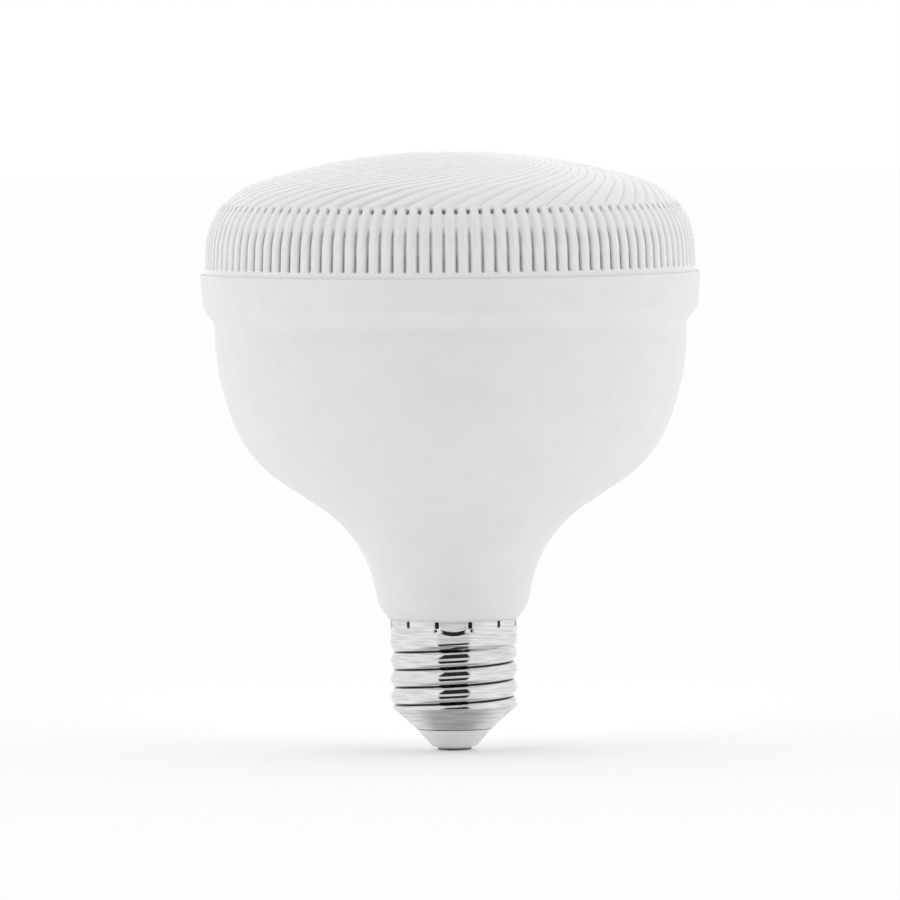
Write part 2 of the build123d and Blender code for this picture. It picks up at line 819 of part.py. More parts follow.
# Fusible resistor: a dog-bone body on the front of the board, above the live wire
resistor_y = -board_thickness / 2 - seat_gap - resistor_radius
resistor_x = -resistor_radius - lead_radius - wire_gap
resistor_z = board_ledge_z - resistor_length
with BuildPart() as fuse_resistor:
    with BuildSketch(Plane((resistor_x, resistor_y, resistor_z), x_dir=(1, 0, 0), z_dir=(0, -1, 0))):
        with BuildLine():
            Polyline(
                (0, 0),
                (resistor_radius - resistor_waist, 0),
                (resistor_radius, resistor_waist),
                (resistor_radius, resistor_end),
                (resistor_radius - resistor_waist, resistor_end + resistor_waist),
                (resistor_radius - resistor_waist, resistor_length - resistor_end - resistor_waist),
                (resistor_radius, resistor_length - resistor_end),
                (resistor_radius, resistor_length - resistor_waist),
                (resistor_radius - resistor_waist, resistor_length),
                (0, resistor_length),
                close=True,
            )
        make_face()
    revolve(axis=Axis((resistor_x, resistor_y, resistor_z), (0, 0, 1)))
fuse_resistor.part.label = "fuse_resistor"
export_step(fuse_resistor.part, "parts/fuse_resistor.step")

# Moulded packages on the front of the board's head, either side of the transformer
side_x = (core_width / 2 + board_top_width / 2) / 2
with BuildPart() as bridge_rectifier:
    with BuildSketch(board_front):
        with Locations((side_x, head_z + bridge_height)):
            Rectangle(bridge_width, bridge_height)
    extrude(amount=bridge_depth, taper=package_draft)
bridge_rectifier.part.label = "bridge_rectifier"
export_step(bridge_rectifier.part, "parts/bridge_rectifier.step")

chip_z = core_z + chip_height
with BuildPart() as driver_chip:
    with BuildSketch(board_front):
        with Locations((side_x, chip_z)):
            Rectangle(chip_width, chip_height)
    extrude(amount=chip_depth, taper=package_draft)
    with BuildSketch(board_front):
        with Locations((side_x, chip_z)):
            with GridLocations(0, chip_pin_pitch, 1, chip_pins_a_side):
                Rectangle(chip_width + 2 * chip_pin_reach, chip_pin_width)
    extrude(amount=chip_pin_depth)
driver_chip.part.label = "driver_chip"
export_step(driver_chip.part, "parts/driver_chip.step")

with BuildPart() as output_diode:
    with BuildSketch(board_front):
        with Locations((-side_x, head_z + diode_height)):
            Rectangle(diode_width, diode_height)
    extrude(amount=diode_depth, taper=package_draft)
output_diode.part.label = "output_diode"
export_step(output_diode.part, "parts/output_diode.step")

with BuildPart() as chip_resistors:
    with BuildSketch(board_front):
        with Locations((-side_x, core_z + chip_height)):
            with GridLocations(
                chip_resistor_width + chip_resistor_gap,
                chip_resistor_height + chip_resistor_gap,
                chip_resistor_columns,
                chip_resistor_rows,
            ):
                Rectangle(chip_resistor_width, chip_resistor_height)
    extrude(amount=chip_resistor_depth)
chip_resistors.part.label = "chip_resistors"
export_step(chip_resistors.part, "parts/chip_resistors.step")


def insulated_lead(points):
    """Round wire along straight runs joined by bends."""
    with BuildPart() as lead:
        with BuildLine() as route:
            FilletPolyline(*points, radius=lead_bend)
        with BuildSketch(Plane(route.line @ 0, z_dir=route.line % 0)):
            Circle(lead_radius)
        sweep(path=route.line)
    return lead.part


# Live lead: from the bore of the contact to the front of the board's tail
live_lead = insulated_lead(
    (
        (0, 0, contact_bore_floor + seat_gap),
        (0, 0, (contact_top + tail_z) / 2),
        (0, lead_y, tail_z),
        (0, lead_y, tail_z + live_lead_rise),
    )
)
live_lead.label = "live_lead"
export_step(live_lead, "parts/live_lead.step")

# Neutral lead: from the inside of the collar through the spigot to the board's tail
neutral_end_x = math.sqrt((collar_radius - shell_wall - seat_gap) ** 2 - (lead_radius - lead_y) ** 2)
neutral_lead = insulated_lead(
    (
        (neutral_end_x, lead_y, neutral_lead_z),
        (neutral_end_x - neutral_lead_run, lead_y, neutral_lead_z),
        (neutral_end_x - neutral_lead_run, lead_y, neutral_lead_z - neutral_lead_drop),
    )
)
neutral_lead.label = "neutral_lead"
export_step(neutral_lead, "parts/neutral_lead.step")

# LED leads: up from the front of the driver board, through both discs and out along the LED board
for lead_name, lead_side in (("led_lead_positive", 1), ("led_lead_negative", -1)):
    lead_x = lead_side * led_lead_spacing / 2
    led_lead = insulated_lead(
        (
            (lead_x, lead_y, board_top_z - led_lead_foot),
            (lead_x, lead_y, led_board_top_z + lead_radius),
            (lead_x + lead_side * led_lead_reach, lead_y, led_board_top_z + lead_radius),
        )
    )
    led_lead.label = lead_name
    export_step(led_lead, f"parts/{lead_name}.step")
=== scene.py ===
import math
from bisect import bisect_right

import bmesh
import bpy
from mathutils import Matrix, Quaternion, Vector


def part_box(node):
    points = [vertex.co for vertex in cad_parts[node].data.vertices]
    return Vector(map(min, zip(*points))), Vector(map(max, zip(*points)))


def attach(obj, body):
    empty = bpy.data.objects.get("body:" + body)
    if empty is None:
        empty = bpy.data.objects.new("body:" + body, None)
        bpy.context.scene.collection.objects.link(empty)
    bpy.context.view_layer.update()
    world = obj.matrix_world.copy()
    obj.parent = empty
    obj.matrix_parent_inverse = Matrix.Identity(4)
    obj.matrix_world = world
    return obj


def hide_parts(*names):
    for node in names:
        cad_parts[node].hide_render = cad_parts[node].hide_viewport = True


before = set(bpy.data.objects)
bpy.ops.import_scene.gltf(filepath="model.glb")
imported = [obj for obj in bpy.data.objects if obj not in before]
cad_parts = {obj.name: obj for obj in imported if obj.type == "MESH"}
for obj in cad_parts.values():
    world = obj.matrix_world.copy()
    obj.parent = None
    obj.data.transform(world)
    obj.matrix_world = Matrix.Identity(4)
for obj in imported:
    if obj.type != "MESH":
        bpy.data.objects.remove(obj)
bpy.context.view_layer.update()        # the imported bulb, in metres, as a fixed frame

mm = 0.001
mergeGap = 1e-7  # points nearer than this, in metres, are one
slack = 1e-6     # room for a point that lies on the last column, in pitches
print("frame loaded:", len(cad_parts), "nodes")


def srgb(code):  # hex colour to linear RGBA
    parts = [int(code[start:start + 2], 16) / 255 for start in (0, 2, 4)]
    linear = [part / 12.92 if part <= 0.04045 else ((part + 0.055) / 1.055) ** 2.4 for part in parts]
    return linear + [1.0]


def fillNode(tree, node, values):  # values are numbers or sockets, by input name or index
    for name, value in values.items():
        if isinstance(value, bpy.types.NodeSocket):
            tree.links.new(value, node.inputs[name])
        else:
            node.inputs[name].default_value = value


def addNode(tree, kind, values, **settings):  # a new node with its settings and inputs
    node = tree.nodes.new(kind)
    for name, setting in settings.items():
        setattr(node, name, setting)
    fillNode(tree, node, values)
    return node


def addMath(tree, operation, *values):  # one sum on numbers or sockets
    return addNode(tree, "ShaderNodeMath", dict(enumerate(values)), operation=operation).outputs[0]


def addNoise(tree, vector, width, detail):  # noise with patches of a width in mm
    values = {"Vector": vector, "Scale": 1 / (width * mm), "Detail": detail}
    return addNode(tree, "ShaderNodeTexNoise", values).outputs["Fac"]


def addRamp(tree, value, places, codes):  # two colours, blended between two places of a pattern
    ramp = addNode(tree, "ShaderNodeValToRGB", {"Fac": value})
    for element, place, code in zip(ramp.color_ramp.elements, places, codes):
        element.position = place
        element.color = srgb(code)
    return ramp.outputs["Color"]


def addRange(tree, value, given, wanted, kind="LINEAR"):  # carries a value from one range over to another
    values = {"Value": value, "From Min": given[0], "From Max": given[1]}
    values.update({"To Min": wanted[0], "To Max": wanted[1]})
    return addNode(tree, "ShaderNodeMapRange", values, interpolation_type=kind).outputs["Result"]


def addBump(tree, value, height):  # relief of a height in mm
    return addNode(tree, "ShaderNodeBump", {"Height": value, "Distance": height * mm}).outputs["Normal"]


def startMaterial(name):  # a new material, its tree and its Object coordinates
    material = bpy.data.materials.new(name)
    material.use_nodes = True
    tree = material.node_tree
    return material, tree, addNode(tree, "ShaderNodeTexCoord", {}).outputs["Object"]


def smoothStep(low, high, value):  # 0 below low, 1 above high, eased between
    share = min(max((value - low) / (high - low), 0.0), 1.0)
    return share * share * (3 - 2 * share)


# Finishes of the plain surfaces: two close colours, a roughness range, and a grain for bump and roughness.
# grain and mottle are widths in mm, height is in mm, and stretch draws the grain out along an axis.
finishes = {
    # Satin moulded polycarbonate: near white, soft sheen, a fine spark-eroded grain
    "housing_plastic": dict(name="polycarbonateSatinMoulded", pale="F7F7F8", deep="F4F4F6", metallic=0.0,
                            rough=(0.36, 0.46), ior=1.58, grain=0.5, height=0.008, mottle=6.0),
    # Ivory urea moulding: dull, chalky, slightly uneven
    "insulator_plastic": dict(name="ureaMoulded", pale="FAFAF8", deep="F5F5F3", metallic=0.0,
                              rough=(0.4, 0.55), ior=1.5, grain=0.5, height=0.01, mottle=3.0),
    # Pressed and tinned brass: soft grey metal with a frosted skin
    "contact_metal": dict(name="brassPressedTinned", pale="6E6C68", deep="4A4946", metallic=1.0,
                          rough=(0.25, 0.45), ior=1.5, grain=0.5, height=0.008, mottle=1.6),
    # Deep-drawn aluminium: pale metal with draw lines up the wall
    "drawn_aluminium": dict(name="aluminiumDrawn", pale="DADBDD", deep="C6C8CB", metallic=1.0,
                            rough=(0.3, 0.42), ior=1.5, grain=0.6, height=0.006, mottle=5.0,
                            stretch=(1, 1, 0.08)),
    # White solder mask over copper and aluminium: glossy white with a faint orange-peel
    "white_solder_mask": dict(name="solderMaskWhite", pale="F4F4F1", deep="ECECE8", metallic=0.0,
                              rough=(0.22, 0.34), ior=1.53, grain=0.9, height=0.01, mottle=4.0),
    # Silicone with phosphor: pale yellow, soft and slightly cloudy
    "led_phosphor": dict(name="siliconePhosphorCast", pale="F3E29A", deep="EBD47A", metallic=0.0,
                         rough=(0.3, 0.4), ior=1.42, grain=0.4, height=0.004, mottle=1.0),
    # Zinc plated steel: bluish grey, slightly crystalline
    "screw_steel": dict(name="steelZincPlated", pale="C9CCD2", deep="A6AAB2", metallic=1.0,
                        rough=(0.24, 0.4), ior=1.5, grain=0.4, height=0.006, mottle=1.0),
    # Extruded red sleeve: glossy, with faint draw lines
    "red_wire": dict(name="vinylSleeveRed", pale="C5201C", deep="A81814", metallic=0.0,
                     rough=(0.28, 0.4), ior=1.53, grain=0.5, height=0.01, mottle=2.0),
    # Extruded black sleeve: glossy, with faint draw lines
    "black_wire": dict(name="vinylSleeveBlack", pale="26262A", deep="17171A", metallic=0.0,
                       rough=(0.28, 0.4), ior=1.53, grain=0.5, height=0.01, mottle=2.0),
    # Green solder mask on glass laminate: the weave shows faintly through
    "green_laminate": dict(name="laminateGlassGreen", pale="2C7A46", deep="1D5E33", metallic=0.0,
                           rough=(0.26, 0.36), ior=1.53, grain=0.8, height=0.008, mottle=3.0),
    # Sintered ferrite: dark grey, gritty
    "ferrite": dict(name="ferriteSintered", pale="4A4A4C", deep="323234", metallic=0.0,
                    rough=(0.5, 0.7), ior=2.0, grain=0.4, height=0.02, mottle=1.5),
    # Black epoxy moulding: matt with a fine grain
    "black_moulding": dict(name="epoxyMouldedBlack", pale="2B2B2C", deep="1D1D1E", metallic=0.0,
                           rough=(0.4, 0.55), ior=1.55, grain=0.5, height=0.012, mottle=2.0),
    # Yellow polyester film: glossy, wrinkled along the turns
    "yellow_tape": dict(name="polyesterFilmYellow", pale="E7B62A", deep="D29E18", metallic=0.0,
                        rough=(0.18, 0.3), ior=1.57, grain=1.2, height=0.03, mottle=4.0,
                        stretch=(0.2, 0.2, 1)),
    # Shrunk sleeve: near black, glossy, slightly rippled
    "black_sleeve": dict(name="polyesterShrinkBlack", pale="25262C", deep="17181C", metallic=0.0,
                         rough=(0.2, 0.3), ior=1.55, grain=1.5, height=0.015, mottle=4.0),
    # Dipped epoxy: blue, rounded, faintly dimpled
    "blue_dip": dict(name="epoxyDippedBlue", pale="2F63A8", deep="214C88", metallic=0.0,
                     rough=(0.22, 0.36), ior=1.55, grain=1.0, height=0.02, mottle=3.0),
}


# Noise in every plain finish: octaves of grain and mottle, and where the two colours lie in the mottle
finishNoise = {"grainDetail": 3.0, "mottleDetail": 2.0, "ramp": (0.3, 0.7)}


def plainFinish(look):  # one grain for bump and roughness, one broad mottle for colour
    material, tree, place = startMaterial(look["name"])
    stretch = look.get("stretch", (1, 1, 1))
    drawn = addNode(tree, "ShaderNodeMapping", {"Vector": place, "Scale": stretch}).outputs["Vector"]
    grain = addNoise(tree, drawn, look["grain"], finishNoise["grainDetail"])
    mottle = addNoise(tree, drawn, look["mottle"], finishNoise["mottleDetail"])
    fillNode(tree, tree.nodes["Principled BSDF"], {
        "Base Color": addRamp(tree, mottle, finishNoise["ramp"], (look["deep"], look["pale"])),
        "Roughness": addRange(tree, grain, (0.0, 1.0), look["rough"]),
        "Normal": addBump(tree, grain, look["height"]),
        "Metallic": look["metallic"],
        "IOR": look["ior"],
    })
    return material


# Prismatic polycarbonate: a milky skin that spreads most of the light, clear in the grooves and inside
clearMoulding = {"tint": "FDFDFD", "ior": 1.58, "rough": (0.05, 0.12), "flow": 7.0, "detail": 1.0,
                 "height": 0.01}


def clearFinish(look):  # the attribute is the share of the light that passes straight
    material, tree, place = startMaterial("polycarbonatePrismaticMoulded")
    flow = addNoise(tree, place, look["flow"], look["detail"])
    clear = addNode(tree, "ShaderNodeAttribute", {}, attribute_name="clear").outputs["Fac"]
    fillNode(tree, tree.nodes["Principled BSDF"], {
        "Base Color": srgb(look["tint"]),
        "Roughness": addRange(tree, flow, (0.0, 1.0), look["rough"]),
        "Normal": addBump(tree, flow, look["height"]),
        "IOR": look["ior"],
        "Transmission Weight": clear,
    })
    return material


# Bright nickel over rolled sheet: a mirror with faint marks round the cap, satin cone, and creases darkened
# by painted shade
nickelPlate = {"pale": "E8E7E5", "deep": "C6C5C4", "ramp": (0.3, 0.62), "paintedShade": "1C1C1E",
               "mark": 0.35, "detail": 4.0, "stretch": (0.06, 0.06, 1.0), "height": 0.0012,
               "rough": (0.03, 0.08), "coneTop": (8.8, 9.6), "coneRough": 0.3}


def nickelFinish(look):
    material, tree, place = startMaterial("nickelPlatedRolledSheet")
    drawn = addNode(tree, "ShaderNodeMapping", {"Vector": place, "Scale": look["stretch"]}).outputs["Vector"]
    marks = addNoise(tree, drawn, look["mark"], look["detail"])
    plate = addRamp(tree, marks, look["ramp"], (look["deep"], look["pale"]))
    # painted shade: the plate is blended to near black by a mesh attribute in the thread roots, the stake
    # dents and at the mouth
    paintedShade = addNode(tree, "ShaderNodeAttribute", {}, attribute_name="paintedShade").outputs["Fac"]
    shadedPlate = addNode(tree, "ShaderNodeMix", {0: paintedShade, 6: plate, 7: srgb(look["paintedShade"])}, data_type="RGBA")
    height = addNode(tree, "ShaderNodeSeparateXYZ", {0: place}).outputs["Z"]
    cone = addRange(tree, height, [edge * mm for edge in look["coneTop"]], (look["coneRough"], 0.0))
    polish = addRange(tree, marks, (0.0, 1.0), look["rough"])
    fillNode(tree, tree.nodes["Principled BSDF"], {
        "Base Color": shadedPlate.outputs[2],
        "Roughness": addMath(tree, "ADD", polish, cone),
        "Normal": addBump(tree, marks, look["height"]),
        "Metallic": 1.0,
    })
    return material


materials = {slot: plainFinish(look) for slot, look in finishes.items()}
materials["lens_plastic"] = clearFinish(clearMoulding)
materials["nickel_plate"] = nickelFinish(nickelPlate)
print("finishes made:", len(materials))

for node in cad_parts.values():  # each CAD node gets the finish of its own slot
    for holder in node.material_slots:
        holder.material = materials[holder.material.name.split(".")[0]]


def makePiece(name, mesh, slot, replaced, sharpAngle):  # a smooth piece on the bulb, its creases crisp
    data = bpy.data.meshes.new(name)
    mesh.to_mesh(data)
    mesh.free()
    for polygon in data.polygons:
        polygon.use_smooth = True
    data.set_sharp_from_angle(angle=math.radians(sharpAngle))
    piece = bpy.data.objects.new(name, data)
    bpy.context.scene.collection.objects.link(piece)
    data.materials.append(materials[slot])
    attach(piece, "root")
    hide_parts(replaced)
    print("piece made:", name, len(data.vertices), "vertices")
    return piece


def spinProfile(profile, marks, steps):  # turns a line of (radius, height) in mm, with a mark on each point
    mesh = bmesh.new()
    layer = mesh.verts.layers.float.new("mark")
    line = [mesh.verts.new((radius * mm, 0.0, height * mm)) for radius, height in profile]
    for vert, mark in zip(line, marks):
        vert[layer] = mark
    edges = [mesh.edges.new(pair) for pair in zip(line, line[1:])]
    bmesh.ops.spin(mesh, geom=line + edges, cent=(0, 0, 0), axis=(0, 0, 1), angle=2 * math.pi,
                   steps=steps, use_merge=True)
    bmesh.ops.remove_doubles(mesh, verts=mesh.verts, dist=mergeGap)
    bmesh.ops.recalc_face_normals(mesh, faces=mesh.faces)
    mesh.normal_update()
    return mesh, layer


def arcPoints(centre, radius, start, end, count):  # angles in radians, both ends included
    points = []
    for step in range(count + 1):
        angle = start + (end - start) * step / count
        points.append((centre[0] + radius * math.cos(angle), centre[1] + radius * math.sin(angle)))
    return points


# Lens: a grooved wall under a dome of spiral arms, with a skirt that snaps into the rim.
# Lengths in mm up the wall from the rim, widths across a groove in pitches, turns of the arms in radians.
lensForm = {
    "domeRadius": 134.2, "shoulder": 15.4, "draft": 2.75, "wall": 2.0,
    "flange": 1.0, "skirtRadius": 48.55, "skirtWall": 1.8, "snapRise": 2.2, "snap": 0.5, "snapSteps": 4,
    "counts": (20, 80, 120), "insideCounts": (2, 8, 8),  # wall, shoulder, dome
    "steps": 720, "sharpAngle": 60, "grooves": 120,
    "columns": ((0.0, 0.0), (1 / 6, 0.09), (1 / 3, 0.21), (0.5, 0.5)),  # even place, set place
    "floor": (0.06, 0.23), "bare": (0.03, 0.13),  # from a groove's middle: where it is full, where it ends
    "skin": 0.05,  # clear share of the rest
    "grooveDepth": 0.42, "grooveFoot": (1.1, 1.5), "grooveTop": (4.2, 7.0),
    "ringRadius": 46.8, "pitReach": (0.2, 0.4, 1.2, 1.5), "pitDepth": 0.9, "ledge": 0.2,
    "arms": 60, "armTwist": 1.75, "rows": 12, "rowTwist": 3.9, "rowShare": 0.7,
    "cellDepth": 0.7, "cellPower": 3, "plainCentre": (4.0, 12.0),
    "bandZone": 2.0, "ringZone": (4.6, 0.8), "rowGaps": (0.25, 0.9, 0.2, 0.85),  # band, wall, ring, dome
}


def lensSection(form, inset, counts):  # wall, shoulder and dome points from the rim to the axis
    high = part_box("lens")[1]
    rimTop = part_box("housing")[1].z / mm
    foot = Vector((high.x / mm - inset, rimTop))
    draft = math.radians(form["draft"])
    outward = Vector((math.cos(draft), math.sin(draft)))
    upward = Vector((-math.sin(draft), math.cos(draft)))
    dome = form["domeRadius"] - inset
    domeCentre = Vector((0.0, high.z / mm - form["domeRadius"]))
    bend = form["shoulder"] - inset
    start = foot - outward * bend - domeCentre  # the shoulder's centre lies on this line, along upward
    half = start.dot(upward)
    reach = -half + math.sqrt(half * half - start.length_squared + (dome - bend) ** 2)
    centre = start + upward * reach + domeCentre
    turn = math.atan2(centre.y - domeCentre.y, centre.x)
    wallTop = centre + outward * bend
    wall = [foot.lerp(wallTop, step / counts[0]) for step in range(counts[0])]
    shoulder = arcPoints(centre, bend, draft, turn, counts[1])
    top = arcPoints(domeCentre, dome, turn, math.pi / 2, counts[2])[1:]
    return [tuple(point) for point in wall] + shoulder + top[:-1] + [(0.0, domeCentre.y + dome)]


def alongLine(line):  # length from the first point to each point
    lengths = [0.0]
    for before, after in zip(line, line[1:]):
        lengths.append(lengths[-1] + math.dist(before, after))
    return lengths


def stationPoints(line, lengths, stations):  # points of the line at the given lengths
    points = []
    for station in stations:
        index = min(bisect_right(lengths, station) - 1, len(line) - 2)
        share = (station - lengths[index]) / (lengths[index + 1] - lengths[index])
        points.append(tuple(Vector(line[index]).lerp(Vector(line[index + 1]), share)))
    return points


def stationList(form, ring, end):  # rows close together at the band and at the ring of pits
    zones = (0.0, form["bandZone"], ring - form["ringZone"][0], ring + form["ringZone"][1], end)
    stations = []
    for start, stop, gap in zip(zones, zones[1:], form["rowGaps"]):
        count = math.ceil((stop - start) / gap)
        stations += [start + (stop - start) * step / count for step in range(count)]
    return stations + [end]


def makeLens(form):
    low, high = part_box("lens")
    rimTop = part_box("housing")[1].z / mm
    seat = rimTop - form["flange"]
    bottom = low.z / mm
    bore = form["skirtRadius"] - form["skirtWall"]
    section = lensSection(form, 0.0, form["counts"])
    lengths = alongLine(section)
    ring = next(length for length, point in zip(lengths, section) if point[0] < form["ringRadius"])
    stations = stationList(form, ring, lengths[-1])
    outside = stationPoints(section, lengths, stations)
    inside = lensSection(form, form["wall"], form["insideCounts"])
    snapCentre = (form["skirtRadius"], seat - form["snapRise"])
    snap = arcPoints(snapCentre, form["snap"], math.pi / 2, -math.pi / 2, form["snapSteps"])
    skirt = [(high.x / mm, seat), (form["skirtRadius"], seat)] + snap
    skirt += [(form["skirtRadius"], bottom), (bore, bottom), (bore, seat)]
    profile = outside[::-1] + skirt + inside[1:]
    marks = stations[::-1] + [-1.0] * (len(profile) - len(outside))  # length outside, -1 inside
    mesh, layer = spinProfile(profile, marks, form["steps"])
    for vert in mesh.verts:
        crowdTurn(vert, form["grooves"], form["columns"])
        if vert[layer] > ring:  # on the dome the mesh runs along the arms
            turnVert(vert, form["armTwist"] * inwardTurn(form, vert.co))
    clear = mesh.verts.layers.float.new("clear")
    for vert in mesh.verts:
        vert[clear] = 1.0
        if vert[layer] >= 0.0:
            bare = grooveShare(form["grooves"], form["bare"], vert.co) * clearReach(form, vert[layer], ring)
            vert[clear] = form["skin"] + (1 - form["skin"]) * bare
            vert.co -= vert.normal * lensRelief(form, vert.co, vert[layer], ring) * mm
    mesh.verts.layers.float.remove(mesh.verts.layers.float["mark"])
    bmesh.ops.recalc_face_normals(mesh, faces=mesh.faces)
    return makePiece("prismaticLens", mesh, "lens_plastic", "lens", form["sharpAngle"])


def crowdTurn(vert, count, columns):  # moves the columns of the mesh to set places round count marks
    pitches = math.atan2(vert.co.y, vert.co.x) / (2 * math.pi) * count + 0.5
    gap = pitches - round(pitches)
    for (start, startPlace), (end, endPlace) in zip(columns, columns[1:]):
        if start <= abs(gap) <= end + slack:
            place = startPlace + (endPlace - startPlace) * (abs(gap) - start) / (end - start)
    turnVert(vert, (math.copysign(place, gap) - gap) * 2 * math.pi / count)


def turnVert(vert, turn):  # turns a point and its normal about the axis
    vert.co.rotate(Matrix.Rotation(turn, 3, "Z"))
    vert.normal.rotate(Matrix.Rotation(turn, 3, "Z"))


def inwardTurn(form, place):  # natural log of the ring's radius over the point's, at least 1 mm out
    return math.log(form["ringRadius"] / max(math.hypot(place.x, place.y) / mm, 1.0))


def grooveShare(count, reach, place):  # 1 in the middle of a groove, 0 on the rib beside it
    pitches = math.atan2(place.y, place.x) / (2 * math.pi) * count + 0.5
    return smoothStep(reach[1], reach[0], abs(pitches - round(pitches)))


def pitShare(form, length, ring):  # 1 in the row of pits at the head of the grooves
    reach = form["pitReach"]
    return smoothStep(reach[0], reach[1], ring - length) * smoothStep(reach[3], reach[2], ring - length)


def clearReach(form, length, ring):  # 1 where the web under a groove or a pit is thin and clear
    groove = smoothStep(*form["grooveFoot"], length) * smoothStep(*form["grooveTop"], ring - length)
    return max(groove, pitShare(form, length, ring))


def lensRelief(form, place, length, ring):  # how far the skin lies below the plain form, in mm
    if length <= ring:
        floor = grooveShare(form["grooves"], form["floor"], place) * smoothStep(*form["grooveFoot"], length)
        return floor * (form["grooveDepth"] + form["pitDepth"] * pitShare(form, length, ring))
    turn = math.atan2(place.y, place.x) / (2 * math.pi)
    inward = inwardTurn(form, place)
    arm = (turn * form["arms"] - form["armTwist"] * inward * form["arms"] / (2 * math.pi)) % 1.0
    row = (turn * form["rows"] + form["rowTwist"] * inward * form["rows"] / (2 * math.pi)) % 1.0
    border = max(abs(2 * arm - 1), form["rowShare"] * abs(2 * row - 1)) ** form["cellPower"]
    radius = math.hypot(place.x, place.y) / mm
    fade = smoothStep(*form["plainCentre"], radius)
    return form["ledge"] + form["cellDepth"] * border * fade * radius / form["ringRadius"]


# Screw shell: rolled sheet with a rounded thread, a staked collar and a cone at the mouth (mm)
shellForm = {
    "steps": 288, "rows": 200, "innerRows": 70, "wall": 0.35, "blend": 0.15, "sharpAngle": 50,
    "crest": 13.1, "depth": 0.85, "pitch": 3.629, "topCrest": 20.2,
    "rootStart": 0.96, "rootShade": (0.82, 0.93),  # shares of the way from crest to root: where the root tightens, and where painted shade in the root starts and is full
    # the shell is darkened by painted shade for a short height up from its mouth, given below in mm
    "mouth": 7.7, "mouthShade": 0.35, "coneSlope": 1.125,
    "collar": 13.2, "collarFoot": 22.0, "collarStep": 0.16, "stepReach": (25.2, 23.9), "stepLift": 0.9,
    "stakes": 12, "stakeWidth": 0.75, "stakeHeight": 1.3, "stakeDepth": 0.45, "stakeEdge": 0.1,
    "columns": ((0.0, 0.0), (1 / 8, 0.048), (5 / 24, 0.062), (0.5, 0.5)),
}


def makeShell(form):
    low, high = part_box("screw_shell")
    bottom = low.z / mm
    top = high.z / mm
    outer = [bottom + (top - bottom) * step / form["rows"] for step in range(form["rows"] + 1)]
    inner = [top - (top - bottom) * step / form["innerRows"] for step in range(form["innerRows"] + 1)]
    profile = [(form["collar"], height) for height in outer]
    profile += [(form["collar"] - form["wall"], height) for height in inner]
    insets = [0.0] * len(outer) + [form["wall"]] * len(inner)
    mesh, layer = spinProfile(profile + profile[:1], insets + insets[:1], form["steps"])
    # painted shade, kept on the mesh for the plate's finish: full in the thread roots, the stake dents and
    # at the mouth
    paintedShade = mesh.verts.layers.float.new("paintedShade")
    for vert in mesh.verts:
        crowdTurn(vert, form["stakes"], form["columns"])
        angle = math.atan2(vert.co.y, vert.co.x)
        radius, vert[paintedShade] = shellRadius(form, angle, vert.co.z / mm, bottom, top)
        vert.co.x = (radius - vert[layer]) * mm * math.cos(angle)
        vert.co.y = (radius - vert[layer]) * mm * math.sin(angle)
    mesh.verts.layers.float.remove(mesh.verts.layers.float["mark"])
    bmesh.ops.recalc_face_normals(mesh, faces=mesh.faces)
    return makePiece("rolledScrewShell", mesh, "nickel_plate", "screw_shell", form["sharpAngle"])


def threadDrop(form, offset):  # share of the depth at an offset from the crest: round crests, tight roots
    start = form["rootStart"]
    past = max(offset - start, 0.0)
    return (min(offset, start) ** 2 + 2 * start * past - start / (1 - start) * past ** 2) / start


def shellRadius(form, angle, height, bottom, top):  # radius in mm, and how much painted shade darkens the point
    turns = (height - form["topCrest"]) / form["pitch"] - angle / (2 * math.pi)
    offset = abs(2 * (turns - round(turns)))
    thread = form["crest"] - form["depth"] * threadDrop(form, offset)
    cone = form["mouth"] + (height - bottom) * form["coneSlope"]
    body = softLess(thread, cone, form["blend"])
    stakeTurn = (math.degrees(angle) + 90) / (360 / form["stakes"]) - 0.5
    fromStake = abs(stakeTurn - round(stakeTurn))
    stakeGap = fromStake * 2 * math.pi / form["stakes"] * form["collar"]
    collar = min(form["collar"] - (form["collarFoot"] - height), form["collar"])
    sag = height - form["stepLift"] * (1 - 2 * fromStake) ** 2  # the band hangs lower between two stakes
    collar -= form["collarStep"] * smoothStep(*form["stepReach"], sag)
    radius = min(-softLess(-body, -collar, form["blend"]), form["collar"])
    ease = form["stakeEdge"]
    # the stake dent: pressed into the collar, and also filled with painted shade
    dent = smoothStep(0.5 + ease, 0.5 - ease, stakeGap / form["stakeWidth"])
    dent *= smoothStep(1 + ease, 1 - ease, (top - height) / form["stakeHeight"])
    # painted shade along the thread root, where the thread is the outer surface
    root = smoothStep(*form["rootShade"], offset) if collar < thread < cone else 0.0
    edge = smoothStep(bottom + form["mouthShade"], bottom, height)  # painted shade at the mouth, where it is rolled onto the insulator
    # the second value is the painted shade of the root, the stake dent and the mouth together
    return radius - form["stakeDepth"] * dent, max(root, dent, edge)


def softLess(one, two, blend):  # the lesser of two, rounded where they cross
    share = max(blend - abs(one - two), 0.0) / blend
    return min(one, two) - share * share * blend / 4


# LED packages: a white frame round a pale yellow window, in three rings (mm)
ledForm = {"rings": ((16.0, 12), (26.0, 20), (36.0, 28)), "length": 3.5, "width": 2.8,
           "frame": 0.35, "dish": 0.08, "sharpAngle": 20}


